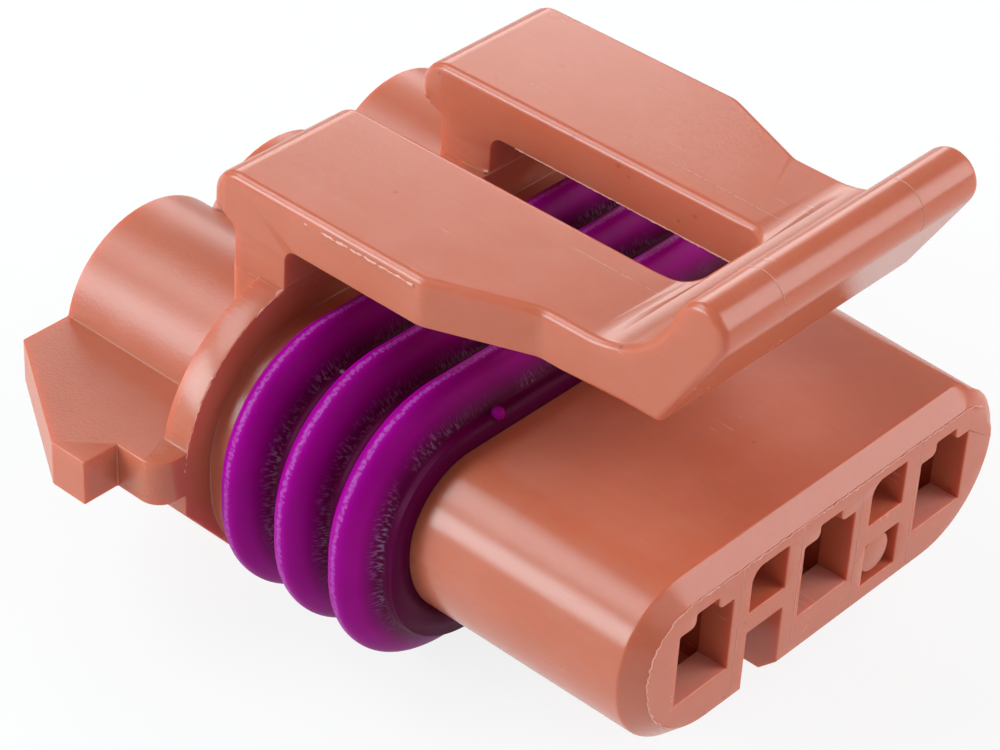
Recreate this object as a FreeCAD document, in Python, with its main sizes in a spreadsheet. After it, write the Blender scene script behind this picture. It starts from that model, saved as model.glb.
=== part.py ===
import FreeCAD, Part
import math
import os
import re

import Sketcher
from FreeCAD import Vector

# Sealed three-way connector housing, millimetres.
# X runs along the row of contact cavities, Y from the mating face to the wire side, Z up.
# The origin is the middle of the mating face.

SIZES = [
    ("CavityToCavity", 6.0, "from one contact cavity to the next"),
    ("NoseHalfWidth", 9.35, "nose, middle to side"),
    ("NoseTop", 3.25, "top of the nose above the middle"),
    ("NoseLow", 3.2, "underside of the nose below the middle"),
    ("NoseTopRound", 2.6, "upper corners of the nose"),
    ("NoseLowRound", 3.8, "lower corners of the nose"),
    ("NoseChamfer", 0.65, "lead-in round the mating face"),
    ("ShoulderFront", 15.8, "where the nose ends and the seal is backed"),
    ("ShoulderRise", 1.45, "shoulder above the nose, all round"),
    ("ShoulderLength", 2.5, "shoulder, front to rear"),
    ("ShoulderLowRound", 4.65, "lower corners of the shoulder"),
    ("CollarFront", 16.47, "front of the flange"),
    ("CollarThickness", 1.1, "flange, front to rear"),
    ("CollarHalfWidth", 11.9, "flange, middle to side"),
    ("CollarTop", 6.1, "flange, height above the middle"),
    ("CollarLow", 4.95, "flange, depth below the middle"),
    ("CollarTopRound", 5.4, "upper corners of the flange"),
    ("CollarFlank", 0.67, "upright sides of the flange end this far below the middle"),
    ("CollarFoot", 8.3, "underside of the flange, middle to the slanted corner"),
    ("CollarFlankRound", 0.3, "where the flange's rounded part ends"),
    ("BodyLength", 24.65, "mating face to wire side"),
    ("TubeRadius", 3.6, "outside of each wire tube"),
    ("TubeHeight", 1.03, "axis of the wire tubes above the middle"),
    ("WingLow", 0.12, "underside of the side wings"),
    ("WingThickness", 1.68, "side wings"),
    ("WingReach", 2.55, "side wings beyond the flange"),
    ("WingSlant", 3.0, "outer edge of a wing to its rear corner, across"),
    ("WingCorner", 19.85, "where the slanted rear edge starts"),
    ("TabFront", 18.35, "front of the small tab on a wing"),
    ("TabWidth", 1.4, "small tab on a wing"),
    ("WingRound", 0.8, "front corner of a wing"),
    ("CavityWidth", 2.54, "mouth of a contact cavity"),
    ("CavityLow", 1.2, "floor of the mouth below the middle"),
    ("CavityTop", 2.05, "roof of the mouth above the middle"),
    ("LugWidth", 0.74, "lugs in the upper corners of the mouth"),
    ("LugHeight", 0.47, "lugs, how far they come down"),
    ("LugRound", 0.25, "rounded inner corner of a lug"),
    ("MouthDepth", 1.2, "front wall that the mouth goes through"),
    ("ChamberWidth", 3.1, "cavity behind the front wall"),
    ("ChamberLow", 1.75, "floor of the cavity below the middle"),
    ("ChamberTop", 2.1, "roof of the cavity above the middle"),
    ("ChamberEnd", 13.0, "rear of the wide cavity"),
    ("WirePassageRadius", 1.55, "round hole between cavity and wire tube"),
    ("SealBoreRadius", 2.5, "inside of each wire tube"),
    ("SealBoreRoom", 0.95, "free length in front of each wire seal"),
    ("PocketWidth", 1.75, "blind pockets between the cavities"),
    ("PocketTop", 2.17, "roof of the upper pockets"),
    ("PocketDepth", 6.0, "how deep the pockets go"),
    ("PocketRound", 0.5, "rounded upper corner of a pocket"),
    ("WebTop", 0.5, "web between upper and lower pocket, top"),
    ("WebLow", 0.3, "web between upper and lower pocket, underside below the middle"),
    ("LowPocketLow", 1.95, "floor of the lower pocket below the middle"),
    ("KeywayDepth", 8.0, "open keyway along the underside"),
    ("PegRadius", 0.72, "round peg in the lower pocket"),
    ("PegInset", 0.12, "peg end behind the mating face"),
    ("SealFront", 9.1, "front of the ring seal"),
    ("SealSleeve", 0.78, "ring seal between its ribs"),
    ("SleeveLowRound", 3.98, "lower corners of the ring seal between its ribs"),
    ("SealLip", 0.3, "bevelled front lip of the ring seal"),
    ("RibHeight", 1.22, "ribs above the sleeve"),
    ("RibWidth", 1.2, "ribs, front to rear"),
    ("RibToRib", 2.37, "rib to rib"),
    ("RibBevel", 0.38, "bevelled crest of a rib"),
    ("WireSealLength", 5.6, "each wire seal"),
    ("WireSealInset", 0.5, "wire seal behind the tube mouth"),
    ("WireSealCore", 2.05, "wire seal between its ribs"),
    ("WireSealRibWidth", 1.0, "foot of a rib on a wire seal, front to rear"),
    ("WireSealCrest", 0.3, "crest of a rib on a wire seal, front to rear"),
    ("WireSealRibToRib", 1.7, "rib to rib on a wire seal"),
    ("WireHoleRadius", 0.9, "hole for the wire"),
    ("ArmTop", 9.28, "top of the latch arms above the middle"),
    ("ArmThickness", 1.71, "latch arms, top to underside"),
    ("ArmOuter", 7.58, "middle to the outside of an arm"),
    ("ArmInner", 1.94, "middle to the inside of an arm"),
    ("NarrowRear", 10.72, "where the arms start to narrow"),
    ("NarrowFront", 7.12, "where the arms end narrowing"),
    ("BarHalfWidth", 6.13, "middle to the end of the front bar"),
    ("SlotFront", 4.95, "front end of the slot between the arms"),
    ("SlotRound", 0.8, "front corners of the slot"),
    ("TipFront", 2.45, "lower lip of the front bar"),
    ("TipRound", 0.3, "rounding of the lower lip"),
    ("RidgeFront", 1.3, "axis of the finger ridge"),
    ("RidgeHeight", 11.4, "axis of the finger ridge above the middle"),
    ("RidgeRadius", 0.98, "finger ridge"),
    ("HollowRadius", 3.3, "hollow that runs up behind the ridge"),
    ("PostThickness", 2.23, "latch posts, front to rear"),
    ("PostFillet", 0.5, "between post and arm"),
    ("TailLength", 1.0, "arms behind the posts"),
    ("TailRound", 1.05, "upper rear edge of the arms"),
    ("TailLip", 0.3, "lower rear edge of the arms"),
    ("ArmBend", 1.0, "rounded corners where the arms narrow"),
    ("HingeRise", 0.6, "flexing root of the posts above the flange"),
    ("HingeGap", 0.05, "round the root of the posts"),
    ("HingeSideGap", 0.1, "beside the root of the posts"),
]

CAVITIES = 3
RIBS = 3
SAME_PLACE = 0.01
FIRST_CAVITY = f"(-CavityToCavity * {(CAVITIES - 1) / 2})"
SEAL_BORE_FRONT = "(BodyLength - WireSealInset - WireSealLength - SealBoreRoom)"
WING_SIDE = "(CollarHalfWidth + WingReach)"

doc = FreeCAD.newDocument("sealed_connector")
sheet = doc.addObject("Spreadsheet::Sheet", "Sizes")
for row, (alias, number, meaning) in enumerate(SIZES, start=1):
    sheet.set(f"A{row}", meaning)
    sheet.set(f"B{row}", str(number))
    sheet.setAlias(f"B{row}", alias)
doc.recompute()


def bound(text):
    """Name the sheet before each size in an expression."""
    return re.sub(r"\b[A-Z]\w+", lambda found: "Sizes." + found.group(0), str(text))


def value(text):
    """Work an expression out as a plain number."""
    return float(sheet.evalExpression(bound(text)))


def new_body(name):
    body = doc.addObject("PartDesign::Body", name)
    body.Label = name
    return body


def origin(body, role):
    """A plane or axis of the body's own origin."""
    return next(item for item in body.Origin.OriginFeatures if item.Role == role)


def new_sketch(body, name, plane, away="0"):
    """A sketch on an origin plane, moved along the plane's normal."""
    sketch = body.newObject("Sketcher::SketchObject", name)
    sketch.AttachmentSupport = [(origin(body, plane), "")]
    sketch.MapMode = "FlatFace"
    sketch.setExpression(".AttachmentOffset.Base.z", bound(away))
    return sketch


def front_sketch(body, name, back="0"):
    """A sketch that looks along +Y, at a distance behind the mating face."""
    return new_sketch(body, name, "XZ_Plane", f"-({back})")


def hold(sketch, geometry, point, across, up):
    """Tie a point of the sketch to two expressions."""
    for kind, text in (("DistanceX", across), ("DistanceY", up)):
        rule = Sketcher.Constraint(kind, -1, 1, geometry, point, value(text))
        index = sketch.addConstraint(rule)
        sketch.setExpression(f"Constraints[{index}]", bound(text))


def size_of(sketch, kind, geometry, text):
    index = sketch.addConstraint(Sketcher.Constraint(kind, geometry, value(text)))
    sketch.setExpression(f"Constraints[{index}]", bound(text))


def polygon(sketch, corners):
    """A closed outline of straight sides through the corners."""
    spots = [Vector(value(across), value(up), 0) for across, up in corners]
    first = sketch.GeometryCount
    count = len(spots)
    for index in range(count):
        sketch.addGeometry(Part.LineSegment(spots[index], spots[(index + 1) % count]), False)
    for index, (across, up) in enumerate(corners):
        following = first + (index + 1) % count
        sketch.addConstraint(Sketcher.Constraint("Coincident", first + index, 2, following, 1))
        hold(sketch, first + index, 1, across, up)


def rectangle(sketch, left, right, low, high):
    polygon(sketch, [(left, low), (right, low), (right, high), (left, high)])


def circle(sketch, across, up, radius):
    middle = Vector(value(across), value(up), 0)
    index = sketch.addGeometry(Part.Circle(middle, Vector(0, 0, 1), value(radius)), False)
    hold(sketch, index, 3, across, up)
    size_of(sketch, "Radius", index, radius)


def rounded_outline(sketch, half_width, top, low, top_round, low_round):
    """A rectangle, wider than high, whose upper and lower corners have radii of their own."""
    corners = [
        (f"-({half_width} - ({low_round}))", f"-({low} - ({low_round}))", low_round, math.pi),
        (f"{half_width} - ({low_round})", f"-({low} - ({low_round}))", low_round, 1.5 * math.pi),
        (f"{half_width} - ({top_round})", f"{top} - ({top_round})", top_round, 0.0),
        (f"-({half_width} - ({top_round}))", f"{top} - ({top_round})", top_round, 0.5 * math.pi),
    ]
    first = sketch.GeometryCount
    arcs = []
    for across, up, radius, start in corners:
        whole = Part.Circle(Vector(value(across), value(up), 0), Vector(0, 0, 1), value(radius))
        arcs.append(Part.ArcOfCircle(whole, start, start + 0.5 * math.pi))
    for index, arc in enumerate(arcs):
        following = arcs[(index + 1) % 4]
        sketch.addGeometry(arc, False)
        sketch.addGeometry(Part.LineSegment(arc.EndPoint, following.StartPoint), False)
    for index, (across, up, radius, start) in enumerate(corners):
        arc = first + 2 * index
        hold(sketch, arc, 3, across, up)
        size_of(sketch, "Radius", arc, radius)
        sketch.addConstraint(Sketcher.Constraint("Tangent", arc, 2, arc + 1, 1))
        following = first + (2 * index + 2) % 8
        sketch.addConstraint(Sketcher.Constraint("Tangent", arc + 1, 2, following, 1))


def barrel_outline(sketch, rise, low_round):
    """The nose's outline moved out, with lower corners of their own radius."""
    rounded_outline(
        sketch,
        f"(NoseHalfWidth + {rise})",
        f"(NoseTop + {rise})",
        f"(NoseLow + {rise})",
        f"(NoseTopRound + {rise})",
        f"({low_round})",
    )


def extrude(body, kind, sketch, length, reverse=False, both_ways=False):
    """A Pad or Pocket of a sketch."""
    feature = body.newObject("PartDesign::" + kind, f"{sketch.Name}_{kind.lower()}")
    feature.Profile = sketch
    if both_ways:
        feature.SideType = "Symmetric"
    feature.setExpression("Length", bound(length))
    feature.Reversed = reverse
    doc.recompute()
    return feature


def grow(body, sketch, length):
    """Add material from a front sketch towards the wire side."""
    return extrude(body, "Pad", sketch, length, reverse=True)


def sink(body, sketch, depth):
    """Cut from a front sketch towards the wire side."""
    return extrude(body, "Pocket", sketch, depth)


def repeat(body, name, features, axis, extent, count, reverse=False):
    pattern = body.newObject("PartDesign::LinearPattern", name)
    pattern.Originals = features
    pattern.Direction = (origin(body, axis), [""])
    pattern.setExpression("Length", bound(extent))
    pattern.Occurrences = count
    pattern.Reversed = reverse
    body.Tip = pattern
    doc.recompute()
    return pattern


def mirror(body, name, features):
    """The same on the other side of the middle."""
    pair = body.newObject("PartDesign::Mirrored", name)
    pair.Originals = features
    pair.MirrorPlane = (origin(body, "YZ_Plane"), [""])
    body.Tip = pair
    doc.recompute()
    return pair


def edges_where(feature, test):
    """Names of the edges that pass a test."""
    edges = enumerate(feature.Shape.Edges, start=1)
    return [f"Edge{index}" for index, edge in edges if test(edge)]


def along_x(along, up):
    """Edges that run across the part at one place of its side view."""
    def test(edge):
        box = edge.BoundBox
        straight = near(box.YLength, 0) and near(box.ZLength, 0)
        return straight and near(box.YMin, along) and near(box.ZMin, up)
    return test


def along_y(spots):
    """Edges that run front to rear through one of the places of the front view."""
    def test(edge):
        box = edge.BoundBox
        straight = near(box.XLength, 0) and near(box.ZLength, 0)
        return straight and any(near(box.XMin, x) and near(box.ZMin, z) for x, z in spots)
    return test


def along_z(spots):
    """Upright edges at one of the places of the plan."""
    def test(edge):
        box = edge.BoundBox
        straight = near(box.XLength, 0) and near(box.YLength, 0)
        return straight and any(near(box.XMin, x) and near(box.YMin, y) for x, y in spots)
    return test


def near(first, second):
    return abs(first - second) < SAME_PLACE


def dress(body, kind, name, names, property_name, amount):
    """A Fillet or Chamfer on named edges of the last feature."""
    feature = body.newObject("PartDesign::" + kind, name)
    feature.Base = (body.Tip if body.Tip != feature else feature.BaseFeature, names)
    feature.setExpression(property_name, bound(amount))
    body.Tip = feature
    doc.recompute()
    return feature


def ring_edges(feature, test):
    """Outer edges of the flat faces square to Y whose place along Y passes a test."""
    chosen = []
    for face in feature.Shape.Faces:
        if near(face.BoundBox.YLength, 0) and test(face.BoundBox.YMin):
            chosen += face.OuterWire.Edges
    return edges_where(feature, lambda edge: any(edge.isSame(other) for other in chosen))


def flat_at_y(place):
    """Edges that lie in one plane square to Y."""
    return lambda edge: near(edge.BoundBox.YMin, place) and near(edge.BoundBox.YMax, place)


def build_housing():
    """One moulding: nose, shoulder, flange, wings, wire tubes and all that is cored out of them."""
    body = new_body("housing")

    wing = new_sketch(body, "wing_outline", "XY_Plane", "WingLow")
    tab_side = f"({WING_SIDE} - TabWidth)"
    half = [
        (tab_side, "CollarFront"),
        (tab_side, "TabFront"),
        (WING_SIDE, "TabFront"),
        (WING_SIDE, "WingCorner"),
        (f"({WING_SIDE} - WingSlant)", "BodyLength"),
    ]
    other_half = [(f"-{across}", along) for across, along in reversed(half)]
    polygon(wing, half + other_half)
    extrude(body, "Pad", wing, "WingThickness")
    front = value("CollarFront")
    side = value(tab_side)
    corners = edges_where(body.Tip, along_z([(-side, front), (side, front)]))
    dress(body, "Fillet", "wing_corners", corners, "Radius", "WingRound")

    collar = front_sketch(body, "collar_outline", "CollarFront")
    heights = ("CollarTop", "CollarFlank")
    rounded_outline(collar, "CollarHalfWidth", *heights, "CollarTopRound", "CollarFlankRound")
    grow(body, collar, "CollarThickness")
    collar_base = front_sketch(body, "collar_base_outline", "CollarFront")
    base_corners = [
        ("-CollarHalfWidth", "0"),
        ("-CollarHalfWidth", "-CollarFlank"),
        ("-CollarFoot", "-CollarLow"),
        ("CollarFoot", "-CollarLow"),
        ("CollarHalfWidth", "-CollarFlank"),
        ("CollarHalfWidth", "0"),
    ]
    polygon(collar_base, base_corners)
    grow(body, collar_base, "CollarThickness")

    nose = front_sketch(body, "nose_outline")
    barrel_outline(nose, "0", "NoseLowRound")
    grow(body, nose, "ShoulderFront")
    lead_in = edges_where(body.Tip, flat_at_y(0.0))
    dress(body, "Chamfer", "nose_lead_in", lead_in, "Size", "NoseChamfer")

    shoulder = front_sketch(body, "shoulder_outline", "ShoulderFront")
    barrel_outline(shoulder, "ShoulderRise", "ShoulderLowRound")
    grow(body, shoulder, "ShoulderLength")

    base = new_sketch(body, "post_base_outline", "XY_Plane", "TubeHeight")
    rectangle(base, "ArmInner", "ArmOuter", "CollarFront", "CollarFront + PostThickness")
    base_pad = extrude(body, "Pad", base, "CollarTop - TubeHeight")
    mirror(body, "post_bases", [base_pad])

    tube = front_sketch(body, "tube_outline", "CollarFront")
    circle(tube, FIRST_CAVITY, "TubeHeight", "TubeRadius")
    tube_pad = grow(body, tube, "BodyLength - CollarFront")
    repeat(body, "tubes", [tube_pad], "X_Axis", f"CavityToCavity * {CAVITIES - 1}", CAVITIES)

    mouth = front_sketch(body, "cavity_mouth")
    half_mouth = [
        ("CavityWidth / 2", "-CavityLow"),
        ("CavityWidth / 2", "CavityTop - LugHeight"),
        ("CavityWidth / 2 - LugWidth", "CavityTop - LugHeight"),
        ("CavityWidth / 2 - LugWidth", "CavityTop"),
    ]
    right = [(f"{FIRST_CAVITY} + {across}", up) for across, up in half_mouth]
    left = [(f"{FIRST_CAVITY} - ({across})", up) for across, up in reversed(half_mouth)]
    polygon(mouth, right + left)
    mouth_cut = sink(body, mouth, "MouthDepth")

    chamber = front_sketch(body, "cavity_chamber", "MouthDepth")
    chamber_left = f"{FIRST_CAVITY} - ChamberWidth / 2"
    chamber_right = f"{FIRST_CAVITY} + ChamberWidth / 2"
    rectangle(chamber, chamber_left, chamber_right, "-ChamberLow", "ChamberTop")
    chamber_cut = sink(body, chamber, "ChamberEnd - MouthDepth")

    passage = front_sketch(body, "wire_passage", "ChamberEnd")
    circle(passage, FIRST_CAVITY, "(CavityTop - CavityLow) / 2", "WirePassageRadius")
    passage_cut = sink(body, passage, f"{SEAL_BORE_FRONT} - ChamberEnd")

    bore = front_sketch(body, "seal_bore", SEAL_BORE_FRONT)
    circle(bore, FIRST_CAVITY, "TubeHeight", "SealBoreRadius")
    bore_cut = sink(body, bore, f"BodyLength - {SEAL_BORE_FRONT}")

    cuts = [mouth_cut, chamber_cut, passage_cut, bore_cut]
    repeat(body, "cavities", cuts, "X_Axis", f"CavityToCavity * {CAVITIES - 1}", CAVITIES)
    lug_reach = value("CavityWidth / 2 - LugWidth")
    lug_low = value("CavityTop - LugHeight")
    middles = [value(f"{FIRST_CAVITY} + CavityToCavity * {number}") for number in range(CAVITIES)]
    lugs = [(middle + side, lug_low) for middle in middles for side in (-lug_reach, lug_reach)]
    lug_edges = edges_where(body.Tip, along_y(lugs))
    dress(body, "Fillet", "lug_corners", lug_edges, "Radius", "LugRound")

    upper = front_sketch(body, "upper_pocket")
    pocket_left = "CavityToCavity / 2 - PocketWidth / 2"
    pocket_right = "CavityToCavity / 2 + PocketWidth / 2"
    rectangle(upper, pocket_left, pocket_right, "WebTop", "PocketTop")
    upper_cut = sink(body, upper, "PocketDepth")
    mirror(body, "upper_pockets", [upper_cut])
    left_sides = [(value(pocket_left), value("PocketTop")), (-value(pocket_right), value("PocketTop"))]
    pocket_edges = edges_where(body.Tip, along_y(left_sides))
    dress(body, "Fillet", "pocket_corners", pocket_edges, "Radius", "PocketRound")

    lower = front_sketch(body, "lower_pocket")
    rectangle(lower, pocket_left, pocket_right, "-LowPocketLow", "-WebLow")
    sink(body, lower, "PocketDepth")

    peg = front_sketch(body, "peg_outline", "PegInset")
    circle(peg, pocket_left + " + PegRadius", "-WebLow - PegRadius", "PegRadius")
    grow(body, peg, "PocketDepth - PegInset")

    keyway = front_sketch(body, "keyway_outline")
    below = "-NoseLow - NoseChamfer"
    rectangle(keyway, f"-({pocket_right})", f"-({pocket_left})", below, "-WebLow")
    sink(body, keyway, "KeywayDepth")

    seat = new_sketch(body, "post_seat", "YZ_Plane", "ArmInner - HingeSideGap")
    hinge_height = "CollarTop + HingeRise"
    seat_radius = "PostThickness / 2 + HingeGap"
    circle(seat, "CollarFront + PostThickness / 2", hinge_height, seat_radius)
    seat_width = "ArmOuter - ArmInner + 2 * HingeSideGap"
    seat_cut = extrude(body, "Pocket", seat, seat_width, reverse=True)
    mirror(body, "post_seats", [seat_cut])
    return body


def build_latch():
    """The flexing latch: two arms on posts, joined in front by a bar with a finger ridge."""
    body = new_body("latch")
    arm_low = "ArmTop - ArmThickness"
    post_rear = "CollarFront + PostThickness"
    tail_end = "CollarFront + PostThickness + TailLength"
    hinge_height = "CollarTop + HingeRise"
    hinge_along = "CollarFront + PostThickness / 2"

    side = new_sketch(body, "side_profile", "YZ_Plane")
    ridge_front = value("RidgeFront")
    ridge_height = value("RidgeHeight")
    ridge_radius = value("RidgeRadius")
    hollow = value("HollowRadius")
    tip = Vector(value("TipFront"), value(arm_low), 0)
    ridge_middle = Vector(ridge_front, ridge_height, 0)
    to_tip = tip - ridge_middle
    lean = math.acos(ridge_radius / to_tip.Length)
    touch = math.atan2(to_tip.y, to_tip.x) - lean + 2 * math.pi
    hollow_drop = value("ArmTop") + hollow - ridge_height
    hollow_middle = Vector(
        ridge_front + math.sqrt((hollow + ridge_radius) ** 2 - hollow_drop ** 2),
        value("ArmTop") + hollow,
        0,
    )
    lift = math.atan2(hollow_drop, hollow_middle.x - ridge_front)
    ridge = Part.ArcOfCircle(Part.Circle(ridge_middle, Vector(0, 0, 1), ridge_radius), lift, touch)
    curve = Part.ArcOfCircle(
        Part.Circle(hollow_middle, Vector(0, 0, 1), hollow), math.pi + lift, 1.5 * math.pi
    )
    root_middle = Vector(value(hinge_along), value(hinge_height), 0)
    root = Part.ArcOfCircle(
        Part.Circle(root_middle, Vector(0, 0, 1), value("PostThickness / 2")), math.pi, 2 * math.pi
    )
    spots = {
        "post_foot": ("CollarFront", hinge_height),
        "post_head": ("CollarFront", arm_low),
        "tip": ("TipFront", arm_low),
        "tail_top": (tail_end, "ArmTop"),
        "tail_low": (tail_end, arm_low),
        "rear_head": (post_rear, arm_low),
        "rear_foot": (post_rear, hinge_height),
    }
    place = {name: Vector(value(along), value(up), 0) for name, (along, up) in spots.items()}
    parts = [
        Part.LineSegment(place["post_foot"], place["post_head"]),
        Part.LineSegment(place["post_head"], place["tip"]),
        Part.LineSegment(place["tip"], ridge.EndPoint),
        ridge,
        curve,
        Part.LineSegment(curve.EndPoint, place["tail_top"]),
        Part.LineSegment(place["tail_top"], place["tail_low"]),
        Part.LineSegment(place["tail_low"], place["rear_head"]),
        Part.LineSegment(place["rear_head"], place["rear_foot"]),
        root,
    ]
    for part in parts:
        side.addGeometry(part, False)
    front_line, under, slant, cap, dip, top, tail, tail_under, rear_line, foot = range(len(parts))
    joins = [
        ("Coincident", front_line, 2, under, 1),
        ("Coincident", under, 2, slant, 1),
        ("Tangent", slant, 2, cap, 2),
        ("Tangent", cap, 1, dip, 1),
        ("Tangent", dip, 2, top, 1),
        ("Coincident", top, 2, tail, 1),
        ("Coincident", tail, 2, tail_under, 1),
        ("Coincident", tail_under, 2, rear_line, 1),
        ("Tangent", rear_line, 2, foot, 2),
        ("Coincident", foot, 1, front_line, 1),
        ("Horizontal", top),
    ]
    for join in joins:
        side.addConstraint(Sketcher.Constraint(*join))
    hold(side, front_line, 1, *spots["post_foot"])
    hold(side, under, 1, *spots["post_head"])
    hold(side, slant, 1, *spots["tip"])
    hold(side, cap, 3, "RidgeFront", "RidgeHeight")
    size_of(side, "Radius", cap, "RidgeRadius")
    size_of(side, "Radius", dip, "HollowRadius")
    hold(side, tail, 1, *spots["tail_top"])
    hold(side, tail_under, 1, *spots["tail_low"])
    hold(side, rear_line, 1, *spots["rear_head"])
    hold(side, rear_line, 2, *spots["rear_foot"])
    extrude(body, "Pad", side, "2 * ArmOuter", both_ways=True)
    under = value(arm_low)
    crooks = [along_x(value("CollarFront"), under), along_x(value(post_rear), under)]
    crook_edges = edges_where(body.Tip, lambda edge: any(test(edge) for test in crooks))
    dress(body, "Fillet", "post_crooks", crook_edges, "Radius", "PostFillet")
    tail_edge = edges_where(body.Tip, along_x(value(tail_end), value("ArmTop")))
    dress(body, "Fillet", "tail_round", tail_edge, "Radius", "TailRound")
    tail_lip = edges_where(body.Tip, along_x(value(tail_end), under))
    dress(body, "Fillet", "tail_lip", tail_lip, "Radius", "TailLip")
    tip_edge = edges_where(body.Tip, along_x(value("TipFront"), under))
    dress(body, "Fillet", "tip_round", tip_edge, "Radius", "TipRound")

    beyond = "TipFront - 2 * HollowRadius"
    slot = new_sketch(body, "slot_outline", "XY_Plane")
    rectangle(slot, "-ArmInner", "ArmInner", "SlotFront", tail_end + " + TailRound")
    through = "ArmTop + RidgeHeight"
    extrude(body, "Pocket", slot, through, reverse=True)
    inner = value("ArmInner")
    slot_front = value("SlotFront")
    slot_edges = edges_where(body.Tip, along_z([(-inner, slot_front), (inner, slot_front)]))
    dress(body, "Fillet", "slot_corners", slot_edges, "Radius", "SlotRound")

    notch = new_sketch(body, "narrowing_outline", "XY_Plane")
    notch_corners = [
        ("BarHalfWidth", beyond),
        ("BarHalfWidth", "NarrowFront"),
        ("ArmOuter", "NarrowRear"),
        ("2 * ArmOuter", "NarrowRear"),
        ("2 * ArmOuter", beyond),
    ]
    polygon(notch, notch_corners)
    notch_cut = extrude(body, "Pocket", notch, through, reverse=True)
    mirror(body, "narrowings", [notch_cut])
    bends = [
        (side * value(across), value(along))
        for side in (-1, 1)
        for across, along in (("BarHalfWidth", "NarrowFront"), ("ArmOuter", "NarrowRear"))
    ]
    bend_edges = edges_where(body.Tip, along_z(bends))
    dress(body, "Fillet", "arm_bends", bend_edges, "Radius", "ArmBend")
    return body


def build_ring_seal():
    """The ribbed ring that closes the gap round the nose, slid on from the front."""
    body = new_body("ring_seal")
    sleeve = front_sketch(body, "sleeve_outline", "SealFront")
    barrel_outline(sleeve, "SealSleeve", "SleeveLowRound")
    barrel_outline(sleeve, "0", "NoseLowRound")
    grow(body, sleeve, "ShoulderFront - SealFront")

    rib = front_sketch(body, "rib_outline", "ShoulderFront - RibWidth")
    barrel_outline(rib, "SealSleeve + RibHeight", "SleeveLowRound + RibHeight")
    barrel_outline(rib, "0", "NoseLowRound")
    rib_pad = grow(body, rib, "RibWidth")
    repeat(body, "ribs", [rib_pad], "Y_Axis", f"RibToRib * {RIBS - 1}", RIBS, reverse=True)

    front = value("SealFront")
    crests = ring_edges(body.Tip, lambda place: place > front + SAME_PLACE)
    dress(body, "Chamfer", "rib_crests", crests, "Size", "RibBevel")
    lip = ring_edges(body.Tip, lambda place: near(place, front))
    dress(body, "Chamfer", "front_lip", lip, "Size", "SealLip")
    return body


def build_wire_seal(number):
    """A ribbed sleeve that seals one wire in its tube."""
    body = new_body(f"wire_seal_{number}")
    core = new_sketch(body, "core_profile", "XY_Plane")
    rectangle(core, "WireHoleRadius", "WireSealCore", "0", "WireSealLength")
    turn = body.newObject("PartDesign::Revolution", "core")
    turn.Profile = core
    turn.ReferenceAxis = (core, ["V_Axis"])
    turn.Angle = 360
    doc.recompute()

    rib = new_sketch(body, "rib_profile", "XY_Plane")
    first_rib = f"(WireSealLength / 2 - WireSealRibToRib * {(RIBS - 1) / 2})"
    rib_profile = [
        ("WireHoleRadius", f"{first_rib} - WireSealRibWidth / 2"),
        ("WireSealCore", f"{first_rib} - WireSealRibWidth / 2"),
        ("SealBoreRadius", f"{first_rib} - WireSealCrest / 2"),
        ("SealBoreRadius", f"{first_rib} + WireSealCrest / 2"),
        ("WireSealCore", f"{first_rib} + WireSealRibWidth / 2"),
        ("WireHoleRadius", f"{first_rib} + WireSealRibWidth / 2"),
    ]
    polygon(rib, rib_profile)
    rib_turn = body.newObject("PartDesign::Revolution", "rib")
    rib_turn.Profile = rib
    rib_turn.ReferenceAxis = (rib, ["V_Axis"])
    rib_turn.Angle = 360
    doc.recompute()
    repeat(body, "ribs", [rib_turn], "Y_Axis", f"WireSealRibToRib * {RIBS - 1}", RIBS)

    middle = (CAVITIES + 1) / 2
    body.setExpression(".Placement.Base.x", bound(f"CavityToCavity * {number - middle}"))
    rear = "BodyLength - WireSealInset - WireSealLength"
    body.setExpression(".Placement.Base.y", bound(rear))
    body.setExpression(".Placement.Base.z", bound("TubeHeight"))
    return body


bodies = [build_housing(), build_latch(), build_ring_seal()]
for number in range(1, CAVITIES + 1):
    bodies.append(build_wire_seal(number))
doc.recompute()

for item in doc.Objects:
    if "Invalid" in item.State or "Error" in item.State:
        raise RuntimeError(f"{item.Label} failed: {item.State}")
for body in bodies:
    if body.Shape.isNull() or not body.Shape.isValid():
        raise RuntimeError(f"{body.Label} has no valid shape")

os.makedirs("parts", exist_ok=True)
for body in bodies:
    body.Shape.exportStep(f"parts/{body.Label}.step")
    box = body.Shape.BoundBox
    print(body.Label, len(body.Shape.Solids), round(body.Shape.Volume, 2), box)
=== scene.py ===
import math

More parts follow.
